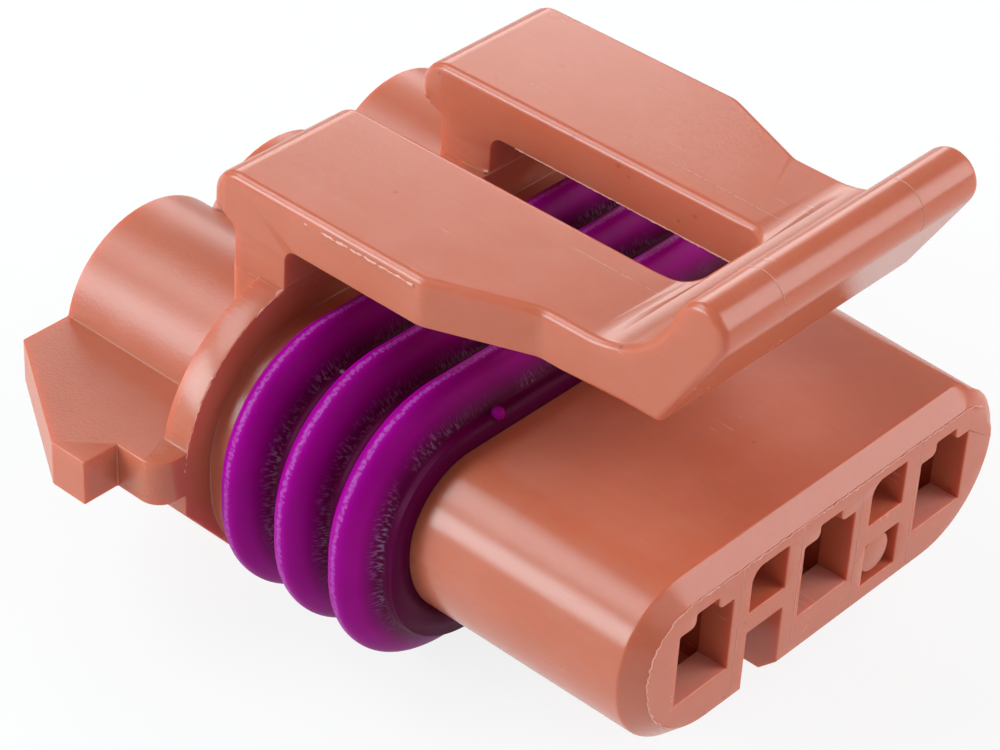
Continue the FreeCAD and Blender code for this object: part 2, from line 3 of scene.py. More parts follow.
import bmesh
import bpy
from mathutils import Matrix, Vector
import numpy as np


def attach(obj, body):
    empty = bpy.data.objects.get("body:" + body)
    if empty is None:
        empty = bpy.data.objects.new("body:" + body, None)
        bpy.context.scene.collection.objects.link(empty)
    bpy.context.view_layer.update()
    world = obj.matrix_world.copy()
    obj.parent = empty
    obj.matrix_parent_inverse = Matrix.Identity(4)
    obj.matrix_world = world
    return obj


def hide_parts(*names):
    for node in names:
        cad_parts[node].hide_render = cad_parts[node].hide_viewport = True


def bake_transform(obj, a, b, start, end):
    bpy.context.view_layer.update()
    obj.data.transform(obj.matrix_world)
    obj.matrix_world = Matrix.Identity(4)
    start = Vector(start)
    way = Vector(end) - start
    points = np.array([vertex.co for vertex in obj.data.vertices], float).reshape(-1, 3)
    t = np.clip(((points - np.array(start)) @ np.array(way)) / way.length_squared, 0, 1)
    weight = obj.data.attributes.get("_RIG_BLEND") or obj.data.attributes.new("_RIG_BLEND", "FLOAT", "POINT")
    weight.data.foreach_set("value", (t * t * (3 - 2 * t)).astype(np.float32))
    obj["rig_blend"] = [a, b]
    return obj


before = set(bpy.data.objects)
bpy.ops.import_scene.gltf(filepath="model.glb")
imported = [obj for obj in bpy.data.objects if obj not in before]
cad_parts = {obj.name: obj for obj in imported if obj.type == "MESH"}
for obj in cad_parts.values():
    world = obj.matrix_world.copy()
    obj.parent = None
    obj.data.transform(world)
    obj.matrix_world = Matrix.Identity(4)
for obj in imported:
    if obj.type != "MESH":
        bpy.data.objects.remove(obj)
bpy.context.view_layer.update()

# The moulding is one shot of nylon: nose, flange, wings, wire tubes and the latch on its
# two posts. The posts and arms bend a little, so the one mesh blends from the body to the
# latch across the posts.
MM = 0.001
MERGE_REACH = 0.0005 * MM
FLAT_ANGLE = 0.02
ARM_OUTER = 7.58
ARM_TOP = 9.28
ARM_EDGE_LOW = 8.05
ARM_EDGE_FRONT = 2.5
BAR_CUT = 3.88
BAR_FOOT_TOP = 8.1
BAR_FOOT_REAR = 2.7
BAR_FOOT_HALF = 6.0
SLOT_HALF = 2.1
SLOT_FRONT = 4.5
SLOT_CUT = 6.2
TAIL_CUT = 19.3
LATCH_LOW = 7.4
COLLAR_FRONT = 16.47
COLLAR_REAR = 17.57
COLLAR_ROUND = (6.5, 0.7, 5.4)
COLLAR_ACROSS = (1.85, 6.5, 6.8, 7.1, 7.4, 7.7)
HINGE_ALONG = 17.585
HINGE_HEIGHT = 6.7
POST_FOOT = 4.9
POST_REAR = 18.7
POST_HALF_LENGTH = 1.12
POST_INSET = 0.02
PLUG_INSET = 0.003
POST_CUTS = (6.0, 6.3, 6.6, 6.85)
PLAIN_ROUND = 0.05
LATCH_ROUND = 0.28
SLOT_FRONT_ROUND = 0.23
BAR_FOOT_ROUND = 0.5
SHARP_ANGLE = 27
SMOOTH_ANGLE = 35
FLAT_FACE_WEIGHT = 95
NOSE_ROUND = (6.75, 0.65, 2.6)
FACE_RADIUS = 1.95
TAPER_START = 7.5
TAPER = 0.33
CAVITY_SPACING = 6.0
MOUTH_HALF = 1.35
MOUTH_FLOOR = -1.9
MOUTH_FLOOR_REACH = 0.9
MOUTH_FADE = (3.0, 2.0)
REAR_FADE = (16.8, 18.2)
LOW_FADE = (6.2, 5.0)
NYLON_DEEP = (0.53, 0.126, 0.063, 1)
NYLON_PALE = (0.575, 0.146, 0.078, 1)
DRAG_MARK = (0.68, 0.24, 0.16, 1)
SCUFF_MARK = (0.8, 0.5, 0.42, 1)
NYLON_SPECK = (0.2, 0.05, 0.03, 1)
# The next colour is painted light: a paler tone for the lit floors of the contact mouths.
MOUTH_PAINTED_LIGHT = (0.8, 0.38, 0.32, 1)


def finished_mesh(piece):
    """The piece's mesh with its modifiers worked out and taken off."""
    depsgraph = bpy.context.evaluated_depsgraph_get()
    mesh = bpy.data.meshes.new_from_object(piece.evaluated_get(depsgraph))
    piece.modifiers.clear()
    piece.data = mesh
    return mesh


def new_piece(name, points, faces, edges=()):
    """A mesh object from points in millimetres."""
    mesh = bpy.data.meshes.new(name)
    mesh.from_pydata([Vector(point) * MM for point in points], edges, faces)
    piece = bpy.data.objects.new(name, mesh)
    bpy.context.scene.collection.objects.link(piece)
    return piece


def merged_copy(node, name):
    """A CAD node's mesh as one closed skin with its flat faces whole."""
    piece = new_piece(name, [], [])
    skin = bmesh.new()
    skin.from_mesh(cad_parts[node].data)
    bmesh.ops.remove_doubles(skin, verts=skin.verts, dist=MERGE_REACH)
    flat = math.radians(FLAT_ANGLE)
    bmesh.ops.dissolve_limit(skin, angle_limit=flat, verts=skin.verts, edges=skin.edges)
    for layer in list(skin.loops.layers.uv):
        skin.loops.layers.uv.remove(layer)
    skin.to_mesh(piece.data)
    skin.free()
    return piece


def prism(name, outline, front, rear):
    """A solid with a front-view outline between two places along Y."""
    count = len(outline)
    points = [(x, y, z) for y in (front, rear) for x, z in outline]
    faces = [list(range(count))[::-1], list(range(count, 2 * count))]
    for i in range(count):
        beside = (i + 1) % count
        faces.append((i, beside, count + beside, count + i))
    piece = new_piece(name, points, faces)
    solid = bmesh.new()
    solid.from_mesh(piece.data)
    bmesh.ops.recalc_face_normals(solid, faces=solid.faces)
    solid.to_mesh(piece.data)
    solid.free()
    return piece


def join_solid(piece, other):
    """Make another solid one skin with the piece, and remove the other."""
    union = piece.modifiers.new("solids", "BOOLEAN")
    union.operation = "UNION"
    union.solver = "MANIFOLD"
    union.object = other
    finished_mesh(piece)
    bpy.data.objects.remove(other)


def collar_top(x):
    """Height of the flange's outline at a distance from the middle."""
    middle, centre, radius = COLLAR_ROUND
    return centre + math.sqrt(radius ** 2 - max(abs(x) - middle, 0.0) ** 2)


def edge_rounding(x, y, z):
    """How far the mould rounds a sharp edge at a place, in millimetres."""
    at_post = abs(y - HINGE_ALONG) < POST_HALF_LENGTH and abs(x) < ARM_OUTER + 0.01
    if at_post and POST_FOOT - 0.1 < z < POST_CUTS[0]:
        return 0.0
    if LATCH_LOW < z < BAR_FOOT_TOP and y < BAR_FOOT_REAR and abs(x) < BAR_FOOT_HALF:
        return BAR_FOOT_ROUND
    if abs(x) < SLOT_HALF and SLOT_FRONT < y < SLOT_CUT and z > ARM_EDGE_LOW:
        return SLOT_FRONT_ROUND
    on_bar = y < BAR_CUT and z > LATCH_LOW
    on_arm_top = y > ARM_EDGE_FRONT and z > ARM_EDGE_LOW
    on_tail = y > TAIL_CUT and z > LATCH_LOW
    return LATCH_ROUND if on_bar or on_arm_top or on_tail else PLAIN_ROUND


def taper_nose(skin):
    """Draw in the upper right rounding of the nose towards the mating face."""
    middle, centre, radius = NOSE_ROUND
    for vertex in skin.verts:
        x, y, z = vertex.co / MM
        out = Vector((x - middle, z - centre))
        if y > TAPER_START or out.x < 0 or out.y < 0:
            continue
        on_face = y < 0.02 and abs(out.length - FACE_RADIUS) < 0.04
        if abs(out.length - radius) < 0.03 or on_face:
            turn = math.atan2(out.y, out.x)
            share = (1 - y / TAPER_START) * math.sin(2 * turn) ** 2
            drawn_in = -out.normalized() * TAPER * share
            vertex.co += Vector((drawn_in.x, 0, drawn_in.y)) * MM


def cut_across(skin, heights, alongs):
    """Rows of points across the skin at heights and at places along Y, in millimetres."""
    cuts = [((0, 0, height), (0, 0, 1)) for height in heights]
    cuts += [((0, along, 0), (0, 1, 0)) for along in alongs]
    for place, across in cuts:
        every = skin.verts[:] + skin.edges[:] + skin.faces[:]
        place = Vector(place) * MM
        bmesh.ops.bisect_plane(skin, geom=every, plane_co=place, plane_no=across, dist=1e-7)


def lengthen_posts(skin):
    """Carry the round feet of the posts straight down into the flange."""
    for vertex in skin.verts:
        x, y, z = vertex.co / MM
        if z < HINGE_HEIGHT - 0.01:
            front_half = y < HINGE_ALONG
            foot = COLLAR_FRONT + POST_INSET if front_half else POST_REAR - POST_INSET
            vertex.co = Vector((x, foot, POST_FOOT)) * MM
    bmesh.ops.remove_doubles(skin, verts=skin.verts, dist=MERGE_REACH)


def round_edges(piece, prepare):
    """Round the sharp edges of a solid after its points are prepared."""
    skin = bmesh.new()
    skin.from_mesh(piece.data)
    prepare(skin)
    bmesh.ops.remove_doubles(skin, verts=skin.verts, dist=MERGE_REACH)
    weights = skin.edges.layers.float.new("bevel_weight_edge")
    for edge in skin.edges:
        if edge.is_manifold and edge.calc_face_angle(0.0) > math.radians(SHARP_ANGLE):
            spot = (edge.verts[0].co + edge.verts[1].co) / (2 * MM)
            edge[weights] = edge_rounding(*spot) / BAR_FOOT_ROUND
    skin.to_mesh(piece.data)
    skin.free()
    bevel = piece.modifiers.new("edge_round", "BEVEL")
    bevel.width = BAR_FOOT_ROUND * MM
    bevel.segments = 3
    bevel.limit_method = "WEIGHT"
    bevel.use_clamp_overlap = False
    bevel.loop_slide = False
    bevel.miter_outer = "MITER_ARC"
    finished_mesh(piece)


def prepare_housing(skin):
    """The nose gets a row of points where its taper starts, and then the taper."""
    cut_across(skin, (), (TAPER_START,))
    taper_nose(skin)


def prepare_latch(skin):
    """The posts reach the flange and get rows of points to bend at."""
    lengthen_posts(skin)
    cut_across(skin, POST_CUTS, (BAR_CUT, SLOT_CUT, TAIL_CUT))


moulding = merged_copy("housing", "moulding")
round_edges(moulding, prepare_housing)
latch_copy = merged_copy("latch", "latch_copy")
round_edges(latch_copy, prepare_latch)
for side in (-1, 1):
    outline = [(side * x, collar_top(x) - PLUG_INSET) for x in COLLAR_ACROSS]
    outline.insert(0, (side * COLLAR_ACROSS[0], POST_FOOT))
    outline.append((side * COLLAR_ACROSS[-1], POST_FOOT))
    plug = prism("collar_filling", outline, COLLAR_FRONT + 0.03, COLLAR_REAR - PLUG_INSET)
    join_solid(moulding, plug)
join_solid(moulding, latch_copy)

for face in moulding.data.polygons:
    face.use_smooth = True
moulding.data.set_sharp_from_angle(angle=math.radians(SMOOTH_ANGLE))
even = moulding.modifiers.new("flat_faces", "WEIGHTED_NORMAL")
even.keep_sharp = True
even.weight = FLAT_FACE_WEIGHT
finished_mesh(moulding)

nylon = bpy.data.materials.new("terracotta_nylon")
nylon.use_nodes = True


def add(tree, kind, inputs=None, **settings):
    """A node with its settings, its plain inputs and its links."""
    made = tree.nodes.new(kind)
    for name, setting in settings.items():
        setattr(made, name, setting)
    for name, source in (inputs or {}).items():
        if isinstance(source, bpy.types.NodeSocket):
            tree.links.new(source, made.inputs[name])
        else:
            made.inputs[name].default_value = source
    return made


def group_socket(group, name, direction, kind, start=None):
    """A named input or output of a node group."""
    socket = group.interface.new_socket(name, in_out=direction, socket_type=kind)
    if start is not None:
        socket.default_value = start


def calc(tree, operation, *terms):
    """One step of arithmetic on two or three terms."""
    step = add(tree, "ShaderNodeMath", dict(enumerate(terms)), operation=operation)
    return step.outputs[0]


def blend_colour(tree, share, first, second):
    """A mix of two colours by a share."""
    mix = add(tree, "ShaderNodeMix", data_type="RGBA")
    for index, source in ((0, share), (6, first), (7, second)):
        if isinstance(source, bpy.types.NodeSocket):
            tree.links.new(source, mix.inputs[index])
        else:
            mix.inputs[index].default_value = source
    return mix.outputs[2]


def fade(tree, coordinate, ends):
    """A share that goes from 0 to 1 between two places in millimetres."""
    first, last = (end * MM for end in ends)
    return add(tree, "ShaderNodeMapRange", {0: coordinate, 1: first, 2: last}).outputs[0]


def surface_grain_group():
    """Fine grain, slow clouds and rare specks that every moulded surface has."""
    group = bpy.data.node_groups.new("surface_grain", "ShaderNodeTree")
    group_socket(group, "Place", "INPUT", "NodeSocketVector")
    group_socket(group, "Grain Scale", "INPUT", "NodeSocketFloat", 9000.0)
    group_socket(group, "Cloud Scale", "INPUT", "NodeSocketFloat", 260.0)
    group_socket(group, "Speck Scale", "INPUT", "NodeSocketFloat", 1500.0)
    for name in ("Grain", "Clouds", "Specks"):
        group_socket(group, name, "OUTPUT", "NodeSocketFloat")
    given = group.nodes.new("NodeGroupInput").outputs
    spot = given["Place"]
    grain_inputs = {"Vector": spot, "Scale": given["Grain Scale"], "Detail": 2.0}
    grain = add(group, "ShaderNodeTexNoise", grain_inputs).outputs["Fac"]
    cloud_inputs = {"Vector": spot, "Scale": given["Cloud Scale"], "Detail": 4.0}
    clouds = add(group, "ShaderNodeTexNoise", cloud_inputs).outputs["Fac"]
    cell_inputs = {"Vector": spot, "Scale": given["Speck Scale"]}
    cells = add(group, "ShaderNodeTexVoronoi", cell_inputs)
    near = add(group, "ShaderNodeMapRange", {0: cells.outputs["Distance"], 1: 0.16, 2: 0.05})
    parts = add(group, "ShaderNodeSeparateColor", {0: cells.outputs["Color"]})
    rare = calc(group, "GREATER_THAN", parts.outputs[0], 0.93)
    specks = calc(group, "MULTIPLY", near.outputs[0], rare)
    add(group, "NodeGroupOutput", {"Grain": grain, "Clouds": clouds, "Specks": specks})
    return group


surface_grain = surface_grain_group()

tree = nylon.node_tree
shader = tree.nodes["Principled BSDF"]
place = add(tree, "ShaderNodeTexCoord").outputs["Object"]
grain = add(tree, "ShaderNodeGroup", {"Place": place}, node_tree=surface_grain)
spot = add(tree, "ShaderNodeSeparateXYZ", {0: place}).outputs
behind = fade(tree, spot["Y"], REAR_FADE)
below = fade(tree, spot["Z"], LOW_FADE)
rear = calc(tree, "MULTIPLY", behind, below)
drawn = add(tree, "ShaderNodeMapping", {"Vector": place, "Scale": (1.0, 0.03, 1.0)}).outputs[0]
drag_inputs = {"Vector": drawn, "Scale": 5200.0, "Detail": 2.0}
drag = add(tree, "ShaderNodeTexNoise", drag_inputs).outputs["Fac"]
scuff_clouds = add(tree, "ShaderNodeTexNoise", {"Vector": place, "Scale": 520.0, "Detail": 5.0})
scuffs = add(tree, "ShaderNodeMapRange", {0: scuff_clouds.outputs["Fac"], 1: 0.45, 2: 0.85})
clear = blend_colour(tree, grain.outputs["Clouds"], NYLON_DEEP, NYLON_PALE)
streaked = blend_colour(tree, calc(tree, "MULTIPLY", drag, 0.16), clear, DRAG_MARK)
scuff_share = calc(tree, "MULTIPLY", scuffs.outputs[0], 0.05)
dusty = blend_colour(tree, scuff_share, streaked, SCUFF_MARK)
speck_share = calc(tree, "MULTIPLY", grain.outputs["Specks"], 0.45)
specked = blend_colour(tree, speck_share, dusty, NYLON_SPECK)
# Painted light: the up-facing floors of the contact mouths near the face are mixed towards a paler colour, a
# painted pool of light from the front.
facing = add(tree, "ShaderNodeTexCoord").outputs["Normal"]
upward = add(tree, "ShaderNodeSeparateXYZ", {0: facing}).outputs["Z"]
from_cavity = calc(tree, "PINGPONG", spot["X"], CAVITY_SPACING / 2 * MM)
in_mouth = calc(tree, "LESS_THAN", from_cavity, MOUTH_HALF * MM)
near_face = fade(tree, spot["Y"], MOUTH_FADE)
low_down = calc(tree, "COMPARE", spot["Z"], MOUTH_FLOOR * MM, MOUTH_FLOOR_REACH * MM)
mouth_floor = calc(tree, "MULTIPLY", calc(tree, "GREATER_THAN", upward, 0.8), in_mouth)
mouth_floor = calc(tree, "MULTIPLY", mouth_floor, calc(tree, "MULTIPLY", near_face, low_down))
floor_painted_light = blend_colour(tree, calc(tree, "MULTIPLY", mouth_floor, 0.6), specked, MOUTH_PAINTED_LIGHT)
tree.links.new(floor_painted_light, shader.inputs["Base Color"])
rough = calc(tree, "MULTIPLY_ADD", drag, 0.06, 0.22)
rough = calc(tree, "MULTIPLY_ADD", scuffs.outputs[0], 0.03, rough)
rough = calc(tree, "MULTIPLY_ADD", rear, 0.08, rough)
tree.links.new(rough, shader.inputs["Roughness"])
depth = calc(tree, "MULTIPLY_ADD", rear, 1.4, 0.45)
relief = calc(tree, "MULTIPLY", grain.outputs["Grain"], depth)
relief = calc(tree, "ADD", relief, calc(tree, "MULTIPLY", drag, 0.08))
bump = add(tree, "ShaderNodeBump", {"Height": relief, "Strength": 0.35, "Distance": 0.000012})
tree.links.new(bump.outputs["Normal"], shader.inputs["Normal"])
shader.inputs["Subsurface Weight"].default_value = 0.6
shader.inputs["Subsurface Radius"].default_value = (1.0, 0.3, 0.12)
shader.inputs["Subsurface Scale"].default_value = 0.9 * MM
moulding.data.materials.clear()
moulding.data.materials.append(nylon)
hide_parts("housing", "latch")
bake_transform(moulding, "body", "latch", start=(0, 0.0176, 0.0061), end=(0, 0.0176, 0.00755))

# Flash is the ragged hair of nylon that creeps into the joints of the mould: along the
# flange's front rim, round the mating face, on an arm and in the slot. Finer lines of it
# mark the seams of the mould's inserts, on the face, the arms and the finger ridge.
FACE_FRONT = -0.005
FACE_TOP = 2.6
FACE_CORNERS = ((*NOSE_ROUND[:2], FACE_RADIUS, 90, 0), (5.55, 0.6, 3.15, 0, -90))
FACE_SEAMS = (-4.4, -1.45, 1.6, 4.6)
SEAM_HALF_HEIGHT = 2.5
RIM_OUT = 0.02
RIM_DROP = 0.03
SIDE_FLASH = [(-ARM_OUTER + 0.03, 15.6, 8.95), (-ARM_OUTER + 0.03, 11.0, 8.95)]
SLOT_FLASH = [(1.95, 15.4, 7.59), (1.95, 5.6, 7.59)]
RIDGE = (1.3, 11.4, 0.98)
RIDGE_SEAMS = (-3.4, 3.3)
INSERT_SEAMS = (((-2.95, 9.3), (-2.95, 4.4)), ((3.02, 12.3), (2.85, 5.1)))
INSERT_HEIGHT = ARM_TOP - 0.01
# The flash colours are paler than the body: partly thin, whitened nylon, partly a painted highlight that
# makes the beads read lit where they lie in shade.
FLASH_DEEP = (0.66, 0.25, 0.17, 1)
FLASH_PALE = (0.82, 0.42, 0.34, 1)

pale_nylon = bpy.data.materials.new("pale_flash_nylon")
pale_nylon.use_nodes = True
tree = pale_nylon.node_tree
shader = tree.nodes["Principled BSDF"]
place = add(tree, "ShaderNodeTexCoord").outputs["Object"]
grain = add(tree, "ShaderNodeGroup", {"Place": place}, node_tree=surface_grain)
pale = blend_colour(tree, grain.outputs["Clouds"], FLASH_DEEP, FLASH_PALE)
tree.links.new(pale, shader.inputs["Base Color"])
shader.inputs["Roughness"].default_value = 0.4


def flash_tree():
    """A ragged bead along the object's own line, its size changed at random."""
    group = bpy.data.node_groups.new("flash_bead", "GeometryNodeTree")
    group_socket(group, "Line", "INPUT", "NodeSocketGeometry")
    group_socket(group, "Radius", "INPUT", "NodeSocketFloat", 0.00004)
    group_socket(group, "Spacing", "INPUT", "NodeSocketFloat", 0.0001)
    group_socket(group, "Ragged", "INPUT", "NodeSocketFloat", 0.5)
    group_socket(group, "Wander", "INPUT", "NodeSocketFloat", 0.00002)
    group_socket(group, "Seed", "INPUT", "NodeSocketInt", 1)
    group_socket(group, "Plastic", "INPUT", "NodeSocketMaterial")
    group_socket(group, "Bead", "OUTPUT", "NodeSocketGeometry")
    given = group.nodes.new("NodeGroupInput").outputs
    line = add(group, "GeometryNodeMeshToCurve", {0: given["Line"]}).outputs[0]
    fine_inputs = {"Curve": line, "Length": given["Spacing"]}
    fine = add(group, "GeometryNodeResampleCurve", fine_inputs, mode="LENGTH")
    stray_inputs = {0: (-1, -1, -1), 1: (1, 1, 1), "Seed": given["Seed"]}
    stray = add(group, "FunctionNodeRandomValue", stray_inputs, data_type="FLOAT_VECTOR")
    offset_inputs = {0: stray.outputs[0], "Scale": given["Wander"]}
    offset = add(group, "ShaderNodeVectorMath", offset_inputs, operation="SCALE")
    moved_inputs = {0: fine.outputs[0], "Offset": offset.outputs[0]}
    moved = add(group, "GeometryNodeSetPosition", moved_inputs)
    chance = add(group, "FunctionNodeRandomValue", {"Seed": given["Seed"]}, data_type="FLOAT")
    spot = add(group, "GeometryNodeInputPosition").outputs[0]
    lumps = add(group, "ShaderNodeTexNoise", {"Vector": spot, "Scale": 900.0, "Detail": 2.0})
    lumpy = add(group, "ShaderNodeMapRange", {0: lumps.outputs["Fac"], 1: 0.35, 2: 0.65})
    uneven = calc(group, "MULTIPLY", chance.outputs[1], lumpy.outputs[0])
    least = calc(group, "SUBTRACT", 1.0, given["Ragged"])
    size = calc(group, "MULTIPLY_ADD", uneven, given["Ragged"], least)
    ring_inputs = {"Resolution": 6, "Radius": given["Radius"]}
    ring = add(group, "GeometryNodeCurvePrimitiveCircle", ring_inputs, mode="RADIUS")
    bead_inputs = {0: moved.outputs[0], 1: ring.outputs[0], "Scale": size, "Fill Caps": True}
    bead = add(group, "GeometryNodeCurveToMesh", bead_inputs)
    real = add(group, "GeometryNodeRealizeInstances", {0: bead.outputs[0]})
    finish_inputs = {0: real.outputs[0], "Material": given["Plastic"]}
    finish = add(group, "GeometryNodeSetMaterial", finish_inputs)
    add(group, "NodeGroupOutput", {0: finish.outputs[0]})
    return group


flash_bead = flash_tree()


def set_input(modifier, name, setting):
    """Give a Geometry Nodes input a value by the identifier of its socket."""
    for item in modifier.node_group.interface.items_tree:
        if item.item_type == "SOCKET" and item.in_out == "INPUT" and item.name == name:
            modifier[item.identifier] = setting


def closed_skin(mesh):
    """Close the seams of a swept mesh and turn its faces outwards."""
    skin = bmesh.new()
    skin.from_mesh(mesh)
    bmesh.ops.remove_doubles(skin, verts=skin.verts, dist=MERGE_REACH)
    bmesh.ops.recalc_face_normals(skin, faces=skin.faces)
    for face in skin.faces:
        face.smooth = True
    skin.to_mesh(mesh)
    skin.free()


def flash(name, lines, body, radius, ragged, wander, seed):
    """Beads of flash along lines of points in millimetres, riding on a body."""
    points = []
    edges = []
    for line in lines:
        start = len(points)
        points += line
        edges += [(start + i, start + i + 1) for i in range(len(line) - 1)]
    bead = new_piece(name, points, [], edges)
    modifier = bead.modifiers.new("bead", "NODES")
    modifier.node_group = flash_bead
    set_input(modifier, "Radius", radius * MM)
    set_input(modifier, "Ragged", ragged)
    set_input(modifier, "Wander", wander * MM)
    set_input(modifier, "Seed", seed)
    set_input(modifier, "Plastic", pale_nylon)
    closed_skin(finished_mesh(bead))
    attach(bead, body)


def arc(middle, centre, radius, first, last, steps, side=1):
    """Points along an arc, as places across and up; side -1 mirrors them."""
    points = []
    for i in range(steps + 1):
        turn = math.radians(first + (last - first) * i / steps)
        out = middle + radius * math.cos(turn)
        points.append((side * out, centre + radius * math.sin(turn)))
    return points


rims = []
for side in (-1, 1):
    rim = arc(*COLLAR_ROUND, 76, 4, 40, side)
    rims.append([(x, COLLAR_FRONT + RIM_OUT, z - RIM_DROP) for x, z in rim])
flash("flange_flash", rims, "body", radius=0.05, ragged=0.85, wander=0.025, seed=3)

left_outline = [(0.0, FACE_TOP)]
for middle, centre, radius, first, last in FACE_CORNERS:
    left_outline += arc(middle, centre, radius, first, last, 16, -1)
right_outline = [(0.0, FACE_TOP)] + arc(*FACE_CORNERS[0][:3], 90, 50, 6)
outlines = (left_outline[:-6], right_outline)
lines = [[(x, FACE_FRONT, z) for x, z in outline] for outline in outlines]
flash("face_flash", lines, "body", radius=0.045, ragged=0.7, wander=0.02, seed=5)
lines = [[(x, 0.005, z) for z in (SEAM_HALF_HEIGHT, -SEAM_HALF_HEIGHT)] for x in FACE_SEAMS]
flash("face_seams", lines, "body", radius=0.022, ragged=0.4, wander=0.004, seed=17)

flash("arm_flash", [SIDE_FLASH], "latch", radius=0.085, ragged=0.6, wander=0.02, seed=7)
flash("slot_flash", [SLOT_FLASH], "latch", radius=0.045, ragged=0.5, wander=0.01, seed=13)
lines = [[(x, y, INSERT_HEIGHT) for x, y in seam] for seam in INSERT_SEAMS]
for x in RIDGE_SEAMS:
    lines.append([(x, y, z) for y, z in arc(*RIDGE, 60, 205, 24)])
flash("arm_insert_lines", lines, "latch", radius=0.022, ragged=0.5, wander=0.004, seed=11)

# The ring seal is moulded silicone: a sleeve with three ribs, stretched over the nose
# against the shoulder. The nub that its gate left stands on the front lip.
NOSE = (9.35, 3.25, 3.2, 2.6, 3.2)
SEAL_FRONT = 9.1
SEAL_REAR = 15.8
SEAL_INSIDE = -0.25
RIB_CRESTS = (10.46, 12.83, 15.2)
RIB_FOOT = 1.12
RIB_SHARPNESS = 1.25
SLEEVE = 0.78
CREST = 2.0
GATE_NUB = (-5.5, 9.13, 4.06)
GATE_NUB_RADIUS = 0.23
GATE_NUB_RISE = 0.7
# The next colour is painted shade: the dark of the grooves between the ribs.
VALLEY_PAINTED_SHADE = (0.095, 0.0, 0.035, 1)
PURPLE_DEEP = (0.27, 0.0, 0.175, 1)
PURPLE_PALE = (0.42, 0.0, 0.3, 1)
# The next colour is grey scratches and dust, partly a painted sheen where the scratchy slopes catch the
# light.
SCRATCH_GREY_AND_SHEEN = (0.42, 0.25, 0.45, 1)
# The next colour is a worn crest line, partly a painted highlight along the crests.
WORN_CREST_AND_HIGHLIGHT = (0.5, 0.12, 0.52, 1)
PURPLE_SPECK = (0.6, 0.4, 0.6, 1)


def swept_ring_tree():
    """A rubber ring: the object's own mesh is its section, swept round a rounded rail."""
    group = bpy.data.node_groups.new("swept_ring", "GeometryNodeTree")
    group_socket(group, "Section", "INPUT", "NodeSocketGeometry")
    for name in ("Half Width", "Top", "Low", "Top Round", "Low Round"):
        group_socket(group, name, "INPUT", "NodeSocketFloat", 0.001)
    group_socket(group, "Rail Points", "INPUT", "NodeSocketInt", 240)
    group_socket(group, "Rubber", "INPUT", "NodeSocketMaterial")
    group_socket(group, "Ring", "OUTPUT", "NodeSocketGeometry")
    given = group.nodes.new("NodeGroupInput").outputs
    width = calc(group, "MULTIPLY", given["Half Width"], 2.0)
    height = calc(group, "ADD", given["Top"], given["Low"])
    box_inputs = {"Width": width, "Height": height}
    box = add(group, "GeometryNodeCurvePrimitiveQuadrilateral", box_inputs).outputs[0]
    lift = calc(group, "MULTIPLY", calc(group, "SUBTRACT", given["Top"], given["Low"]), 0.5)
    spot = add(group, "GeometryNodeInputPosition").outputs[0]
    parts = add(group, "ShaderNodeSeparateXYZ", {0: spot})
    upper = calc(group, "GREATER_THAN", parts.outputs["Y"], 0.0)
    radius = add(group, "ShaderNodeMix", {0: upper, 2: given["Low Round"], 3: given["Top Round"]})
    rounded_inputs = {"Curve": box, "Count": 40, "Radius": radius.outputs[0]}
    rounded = add(group, "GeometryNodeFilletCurve", rounded_inputs, mode="POLY").outputs[0]
    even_inputs = {"Curve": rounded, "Count": given["Rail Points"]}
    even = add(group, "GeometryNodeResampleCurve", even_inputs, mode="COUNT").outputs[0]
    shift = add(group, "ShaderNodeCombineXYZ", {"Y": lift}).outputs[0]
    rail = add(group, "GeometryNodeSetPosition", {0: even, "Offset": shift}).outputs[0]
    length = add(group, "GeometryNodeSplineParameter").outputs["Length"]
    kept_inputs = {"Geometry": rail, "Name": "round_length", "Value": length}
    kept = add(group, "GeometryNodeStoreNamedAttribute", kept_inputs).outputs[0]
    level = add(group, "GeometryNodeSetCurveNormal", {0: kept}, mode="Z_UP")
    section = add(group, "GeometryNodeMeshToCurve", {0: given["Section"]})
    sweep = add(group, "GeometryNodeCurveToMesh", {0: level.outputs[0], 1: section.outputs[0]})
    upright_inputs = {0: sweep.outputs[0], "Rotation": (math.radians(90), 0, 0)}
    upright = add(group, "GeometryNodeTransform", upright_inputs)
    real = add(group, "GeometryNodeRealizeInstances", {0: upright.outputs[0]})
    finish_inputs = {0: real.outputs[0], "Material": given["Rubber"]}
    finish = add(group, "GeometryNodeSetMaterial", finish_inputs)
    add(group, "NodeGroupOutput", {0: finish.outputs[0]})
    return group


swept_ring = swept_ring_tree()


def rubber_ring(name, section, rail, rubber, rail_points):
    """Sweep a closed section, given as (out, along, rise) points, round a rounded rail."""
    points = [(out, along, 0.0) for out, along, rise in section]
    edges = [(index, (index + 1) % len(points)) for index in range(len(points))]
    ring = new_piece(name, points, [], edges)
    rises = ring.data.attributes.new("rise", "FLOAT", "POINT")
    rises.data.foreach_set("value", [rise for out, along, rise in section])
    modifier = ring.modifiers.new("sweep", "NODES")
    modifier.node_group = swept_ring
    names = ("Half Width", "Top", "Low", "Top Round", "Low Round")
    for label, length in zip(names, rail):
        set_input(modifier, label, length * MM)
    set_input(modifier, "Rail Points", rail_points)
    set_input(modifier, "Rubber", rubber)
    closed_skin(finished_mesh(ring))
    return ring


def ribbed_line(front, rear, crests, low, high, half_foot, sharpness, steps):
    """(out, along, rise) points of a sleeve's outer side, front to rear, a rib at each crest."""
    line = []
    for index in range(steps + 1):
        along = front + (rear - front) * index / steps
        rise = 0.0
        for crest in crests:
            reach = min(abs(along - crest) / half_foot, 1.0)
            rise = max(rise, 0.5 + 0.5 * math.cos(math.pi * reach ** sharpness))
        line.append((low + (high - low) * rise, along, rise))
    return line


